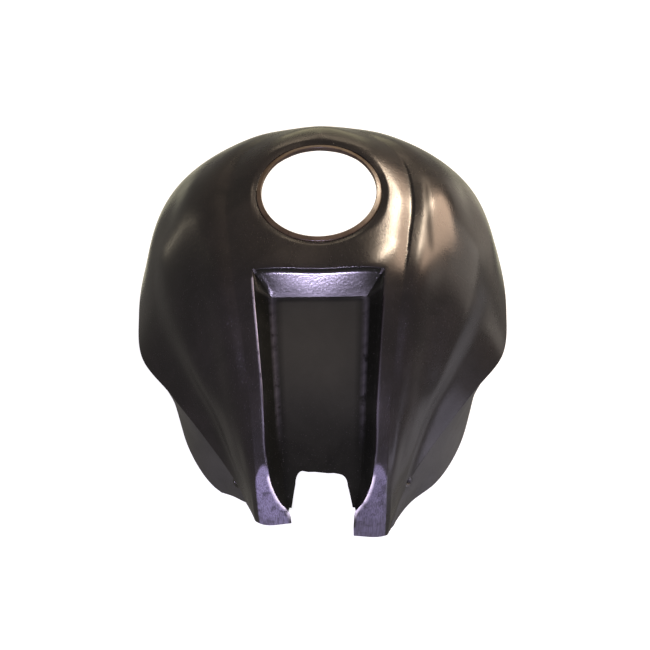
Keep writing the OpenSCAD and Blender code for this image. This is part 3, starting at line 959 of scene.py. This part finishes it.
def coat(name, dark, light, scale, rough_low, rough_high, grain, depth, stretch=(1, 1, 1),
         **uniform):
    """A plain coated, cast or machined surface: mottled colour and a fine grain."""
    material, tree, shader, place = surface(name, **uniform)
    cloud = noise(tree, place, scale, 5, 0.6, 0.3)
    fine = noise(tree, stretched(tree, place, stretch), grain, 3, 0.6)
    colour = blend_colour(tree, mapped(tree, cloud, 0.3, 0.7), dark, light)
    rough = mapped(tree, calc(tree, "ADD", calc(tree, "MULTIPLY", cloud, 0.6),
                              calc(tree, "MULTIPLY", fine, 0.4)), 0.3, 0.7, rough_low, rough_high)
    finish(tree, shader, colour, rough, bump(tree, fine, depth, 0.7))
    return material


def wood(name):
    """Sealed beech with its grain upright."""
    material, tree, shader, place = surface(name)
    rings = add(tree, "ShaderNodeTexWave", {"wave_type": "RINGS", "rings_direction": "Z"},
                Vector=stretched(tree, place, (1, 1, 0.12)), Scale=90.0, Distortion=5.0, Detail=3.0,
                Detail_Scale=1.2).outputs["Fac"]
    flecks = mapped(tree, noise(tree, stretched(tree, place, (900, 900, 90)), 1, 2), 0.6, 0.72)
    colour = blend_colour(tree, rings, (0.42, 0.27, 0.13), (0.30, 0.17, 0.075))
    colour = blend_colour(tree, calc(tree, "MULTIPLY", flecks, 0.6), colour, (0.15, 0.08, 0.035))
    finish(tree, shader, colour, mapped(tree, rings, 0, 1, 0.42, 0.6),
           bump(tree, rings, 0.0001, 0.5))
    return material


def floor_material():
    material, tree, shader, place = surface("studio_floor", Specular_IOR_Level=0.1)
    tint = noise(tree, place, 1.2, 3)
    colour = blend_colour(tree, tint, (0.40, 0.40, 0.40), (0.42, 0.42, 0.42))
    finish(tree, shader, colour, mapped(tree, tint, 0, 1, 0.85, 0.95),
           bump(tree, noise(tree, place, 300, 2), 0.0001, 0.2))
    shader.inputs["Emission Color"].default_value = (1, 1, 1, 1)
    shader.inputs["Emission Strength"].default_value = 0.86
    return material


# --- masks painted on the meshes

def vertices_of(mesh):
    found = np.zeros(len(mesh.vertices) * 3, np.float32)
    mesh.vertices.foreach_get("co", found)
    return found.reshape(-1, 3).astype(float)


def paint(mesh, name, values=0.0):
    values = np.broadcast_to(values, len(mesh.vertices))
    mesh.attributes.new(name, "FLOAT", "POINT").data.foreach_set(
        "value", np.clip(values, 0, 1).astype(np.float32))


def near_line(points, line, reach):
    """1 on a line of points, falling smoothly to 0 at reach from it."""
    nearest = np.full(len(points), 1.0)
    for p in line:
        nearest = np.minimum(nearest, ((points - p) ** 2).sum(1))
    return ease(1 - np.sqrt(nearest) / reach)


def near_both(points, line, reach):
    """1 on a line and on its mirror image, falling smoothly to 0 at reach from them."""
    return np.maximum(near_line(points, line, reach), near_line(points, line * MIRROR, reach))


def opening_edge(start, end, count=500):
    """Points along the right edge of the channel's opening, between two stations."""
    return skin_at(np.linspace(start, end, count), 1)


def paint_skin(mesh):
    points = vertices_of(mesh)
    x, y, z = points.T
    across_x = np.abs(x)
    # The feet are sanded up to an arch over the middle of each, and less on the right. Their sanded
    # colour carries a painted violet reflection.
    arch = 98 * MM - 10 * MM * ((across_x - 50 * MM) / (7.5 * MM)) ** 2
    foot = ease((-177 * MM - y) / (3 * MM)) * ease((arch - z) / (4 * MM))
    foot *= ease((58.5 * MM - across_x) / (1.5 * MM))
    paint(mesh, "sanding_and_sheen", foot * np.where(x > 0, 0.62, 1.0))
    # The opening's edge is worn pale on the feet, with a painted glint on it, and higher up on the
    # left a painted highlight line runs along it.
    lip = near_both(points, opening_edge(0.3, 4.2, 260), 3.2 * MM)
    lip *= between(z, 30 * MM, 100 * MM, 20 * MM, 12 * MM)
    left = near_line(points, opening_edge(4.2, 7.9) * MIRROR, 1.2 * MM)
    left *= ease((z - 130 * MM) / (50 * MM))
    paint(mesh, "wear_and_glint", 1.3 * lip + 0.8 * left)
    seam = skin_at(np.linspace(8.8, 10.75, 120), CRACK_GUIDE)
    paint(mesh, "crack", 1.4 * near_line(points, seam, 0.8 * MM))
    # The edge is matt above the feet, and a patch of the right shoulder is hazed.
    band = near_both(points, opening_edge(2.8, 7.6), 2.2 * MM) * ease((z - 98 * MM) / (8 * MM))
    hazed = bump_at(x, 101 * MM, 10 * MM) * between(y, -30 * MM, 70 * MM, 20 * MM)
    paint(mesh, "matt", np.maximum(1.5 * band, 0.5 * hazed))


def paint_channel(mesh):
    points = vertices_of(mesh)
    x, y, z = points.T
    for name in ("sanding_and_sheen", "crack"):
        paint(mesh, name)
    edge = along(FLOOR_GUIDES, np.linspace(0, 6, 300))[:, 1]
    half_width = np.interp(y, edge[:, 1], edge[:, 0])
    # A faint painted highlight runs along the floor's edges towards the front.
    edge_glint = near_both(points, edge, 1 * MM) * ease((z - 90 * MM) / (50 * MM))
    paint(mesh, "wear_and_glint", 0.05 * edge_glint)
    # Everything but the front wall is matt. The floor is paler, and painted light makes it paler
    # still towards the front, where it rises.
    front_wall = ease((y + 64 * MM) / (4 * MM)) * ease((60 * MM - np.abs(x)) / (3 * MM))
    paint(mesh, "matt", 1 - front_wall)
    floor = ease((half_width - np.abs(x)) / (9 * MM)) * ease((-62 * MM - y) / (4 * MM))
    paint(mesh, "pale_and_lit", floor * (0.15 + 0.85 * ease((z - 90 * MM) / (70 * MM))))


# --- the pieces

black = gelcoat("black_gelcoat", (0.0085, 0.0075, 0.0068), (0.0150, 0.0130, 0.0115), 0.27)
tray_black = gelcoat("tray_gelcoat", (0.0062, 0.0066, 0.0048), (0.0105, 0.0110, 0.0080), 0.22)
# The knee panels' gelcoat is lightened grey-green as a painted reflection of the floor below.
knee_floor_sheen = gelcoat("knee_gelcoat_floor_sheen", (0.038, 0.039, 0.034), (0.054, 0.055, 0.047), 0.45)
inside = laminate("raw_laminate", (0.020, 0.019, 0.017), (0.055, 0.052, 0.046))
cast_resin = coat("cast_resin", (0.050, 0.036, 0.022), (0.090, 0.067, 0.042), 60, 0.26, 0.38, 500,
                  0.00008)
glass_mat = laminate("glass_mat", (0.055, 0.050, 0.040), (0.12, 0.11, 0.09))
beech = wood("sealed_beech")
blackened = coat("blackened_steel", (0.09, 0.088, 0.085), (0.19, 0.185, 0.18), 140, 0.28, 0.44, 900,
                 0.00003, (1, 1, 6), Metallic=1.0)
zinc = coat("zinc_plate", (0.42, 0.42, 0.40), (0.60, 0.60, 0.57), 180, 0.26, 0.44, 1100, 0.00002,
            Metallic=1.0)
steel = coat("turned_steel", (0.40, 0.40, 0.41), (0.56, 0.56, 0.57), 120, 0.20, 0.36, 1300, 0.00002,
             (6, 1, 1), Metallic=1.0)
nylon = coat("black_nylon", (0.012, 0.012, 0.012), (0.022, 0.022, 0.022), 90, 0.45, 0.60, 800,
             0.00004)
powder = coat("powder_coat", (0.020, 0.021, 0.023), (0.032, 0.033, 0.036), 70, 0.42, 0.55, 1500,
              0.00012)
rubber = coat("moulded_rubber", (0.010, 0.010, 0.010), (0.020, 0.020, 0.019), 50, 0.70, 0.88, 1200,
              0.0001)

skin = thing("shell_skin", make_skin(), "tank", ["upper_shell"], [black, inside])
for side in (1, -1):
    drilled(skin, at_side_fixing(side), SIDE_HOLE)
paint_skin(skin.data)

tray = thing("channel_tray", make_channel(), "tank", ["centre_channel"],
             [tray_black, inside])
paint_channel(tray.data)
tray.modifiers.new("flat_faces", "WEIGHTED_NORMAL")

for side, word in ((-1, "left"), (1, "right")):
    knee = thing(f"{word}_knee_skirt", make_knee(side), "tank", [f"{word}_knee_panel"],
                 [knee_floor_sheen, inside])
    drilled(knee, at_side_fixing(side), SIDE_HOLE)
    drilled(knee, at_stud(side), STUD_HOLE)
    for mask in ("sanding_and_sheen", "wear_and_glint", "crack", "matt"):
        paint(knee.data, mask)

seat = filler_part("filler_seat", SEAT_SECTION, 0.7 * MM, 192)
thing("filler_seat", seat, "tank", ["filler_ring"], [cast_resin])
backing = filler_part("filler_backing", BACKING_SECTION, 0.8 * MM, 160, wobble=0.0016)
thing("filler_backing", backing, "tank", ["filler_doubler"], [glass_mat])

shoulder_core = core_block((7.02, 9.98), (5.04, 5.96), (70, 22), 6 * MM)
bow_core = core_block((11.02, 12.99), (6.03, 6.64), (60, 16), 5 * MM)
for piece, node, solids in (
        ("right_shoulder_core", "right_stiffener", [shoulder_core]),
        ("left_shoulder_core", "left_stiffener", [mirrored(shoulder_core)]),
        ("nose_cores", "front_bow", [bow_core, mirrored(bow_core)])):
    thing(piece, cores_mesh(piece, solids), "tank", [node], [glass_mat])

INSERT_R = 3 * MM
PITCH = 1 * MM
SOFT_ANGLE = 30  # degrees, above which a machined edge stays sharp
for side, word in ((-1, "left"), (1, "right")):
    bottom = FOOT_TRIM if side < 0 else 0
    at_foot = Matrix.Translation((side * 43 * MM, -187 * MM, bottom))
    for end, start, length, place in (("foot", 0.8 * MM, 13.4 * MM, at_foot),
                                      ("side", -16.2 * MM, 14.4 * MM, at_side_fixing(side))):
        node = f"{word}_{end}_insert"
        insert = softened(node, 0.35 * MM)
        joined(insert, *thread_ridge(INSERT_R, PITCH, start, length, place))
        thing(f"{word}_{end}_thread", insert, "tank", [node], [blackened], SOFT_ANGLE)
    thing(f"{word}_foot_core", softened(f"{word}_foot_block", 1.2 * MM), "tank",
          [f"{word}_foot_block"], [beech], SOFT_ANGLE)
    turn = f"{word}_quarter_turn"
    for node, piece, body, slot, width, look in (
            ("stud_cup", "receptacle", "tank", "plated", 0.3, zinc),
            ("stud", "quarter_stud", turn, "stud_steel", 0.45, steel),
            ("stud_ring", "snap_ring", turn, "plated", 0.2, zinc),
            ("pivot_lug", "hinge_lug", "tank", "plated", 0.6, zinc),
            ("pivot_bush", "hinge_bush", "tank", "bush", 0.3, nylon)):
        thing(f"{word}_{piece}", softened(f"{word}_{node}", width * MM), body,
              [f"{word}_{node}"], [look], SOFT_ANGLE)

for node, piece, slot, width, look in (
        ("pivot_pin", "hinge_pin", "stud_steel", 0.4, steel),
        ("pivot_clip", "hinge_clip", "plated", 0.2, zinc),
        ("frame_bracket", "seat_bracket", "bracket", 0.8, powder),
        ("bracket_pad", "bracket_rubber", "rubber", 0.6, rubber)):
    thing(piece, softened(node, width * MM), "bracket", [node], [look], SOFT_ANGLE)


# --- floor, lights and camera

TARGET = Vector((0, 0, 0.105))
AZIMUTH, ELEVATION, ROLL = 1.931, 49.533, -2.163  # of the camera, in degrees
DISTANCE = 0.9133  # from the camera to TARGET


def make_floor():
    bm = bmesh.new()
    bmesh.ops.create_grid(bm, x_segments=8, y_segments=8, size=6)
    floor = new_object("studio_floor", mesh_from(bm, "studio_floor"))
    floor.location.z = -0.5 * MM
    floor.data.materials.append(floor_material())
    floor.visible_glossy = floor.visible_diffuse = floor.visible_shadow = False


def soft_light(name, direction, distance, width, height, colour, power):
    """A rectangular soft light that faces the object from the given direction."""
    data = bpy.data.lights.new(name, "AREA")
    data.shape = "RECTANGLE"
    data.size, data.size_y = width, height
    data.color = colour
    data.energy = power
    light = new_object(name, data)
    towards = Vector(direction).normalized()
    light.location = TARGET + towards * distance
    light.rotation_mode = "QUATERNION"
    light.rotation_quaternion = towards.to_track_quat("Z", "Y")
    light.visible_camera = False


def make_camera():
    turn = turned(AZIMUTH, "Z") @ turned(90 - ELEVATION, "X") @ turned(ROLL, "Z")
    data = bpy.data.cameras.new("view_camera")
    data.lens = 50.86
    data.shift_x, data.shift_y = 0.0052, -0.0351
    data.clip_start, data.clip_end = 0.05, 50
    camera = new_object("view_camera", data)
    camera.matrix_world = Matrix.Translation(TARGET + turn.col[2].xyz * DISTANCE) @ turn
    bpy.context.scene.camera = camera


make_floor()
make_camera()
for lamp in (
        ("violet_window", (-0.035, -0.625, 0.335), 0.705, 0.075, 0.05, (0.76, 0.66, 1.0), 4.4),
        ("cream_lamp", (0.42, 0.51, 0.76), 1.5, 0.14, 0.44, (1.0, 0.80, 0.60), 13.5),
        ("cream_wall", (0.38, 0.53, 0.76), 1.7, 0.40, 0.45, (1.0, 0.76, 0.56), 2.0),
        ("tan_wall", (0.69, 0.48, 0.59), 1.7, 0.90, 0.88, (1.0, 0.70, 0.50), 21),
        ("right_window", (0.58, -0.77, -0.28), 1.7, 1.6, 1.2, (0.84, 0.80, 1.0), 10),
        ("right_ground", (0.80, 0.10, -0.60), 1.8, 1.0, 1.0, (0.92, 0.88, 1.0), 1.0),
        ("warm_wall", (0.68, 0.70, -0.20), 1.8, 0.9, 0.9, (1.0, 0.86, 0.72), 1.0),
        ("right_wall", (0.94, 0.30, 0.10), 1.8, 1.0, 1.3, (1.0, 0.90, 0.80), 4),
        ("brown_wall", (0.0, 0.92, 0.38), 1.9, 1.0, 0.30, (1.0, 0.80, 0.58), 1.8),
        ("olive_wall", (0.0, 0.99, -0.04), 1.9, 0.8, 0.45, (0.90, 0.82, 0.50), 1.3),
        ("olive_ground", (0.0, 0.83, -0.56), 1.9, 2.4, 0.80, (0.90, 0.86, 0.60), 4),
        ("left_strip", (-0.84, 0.50, 0.18), 1.6, 0.04, 1.2, (1.0, 0.88, 0.66), 1.0)):
    soft_light(*lamp)

world = bpy.data.worlds.new("studio")
world.use_nodes = True
sky = world.node_tree.nodes["Background"].inputs
sky["Color"].default_value = (1.0, 0.93, 0.84, 1)
sky["Strength"].default_value = 0.19
bpy.context.scene.world = world
bpy.context.scene.view_settings.view_transform = "Standard"
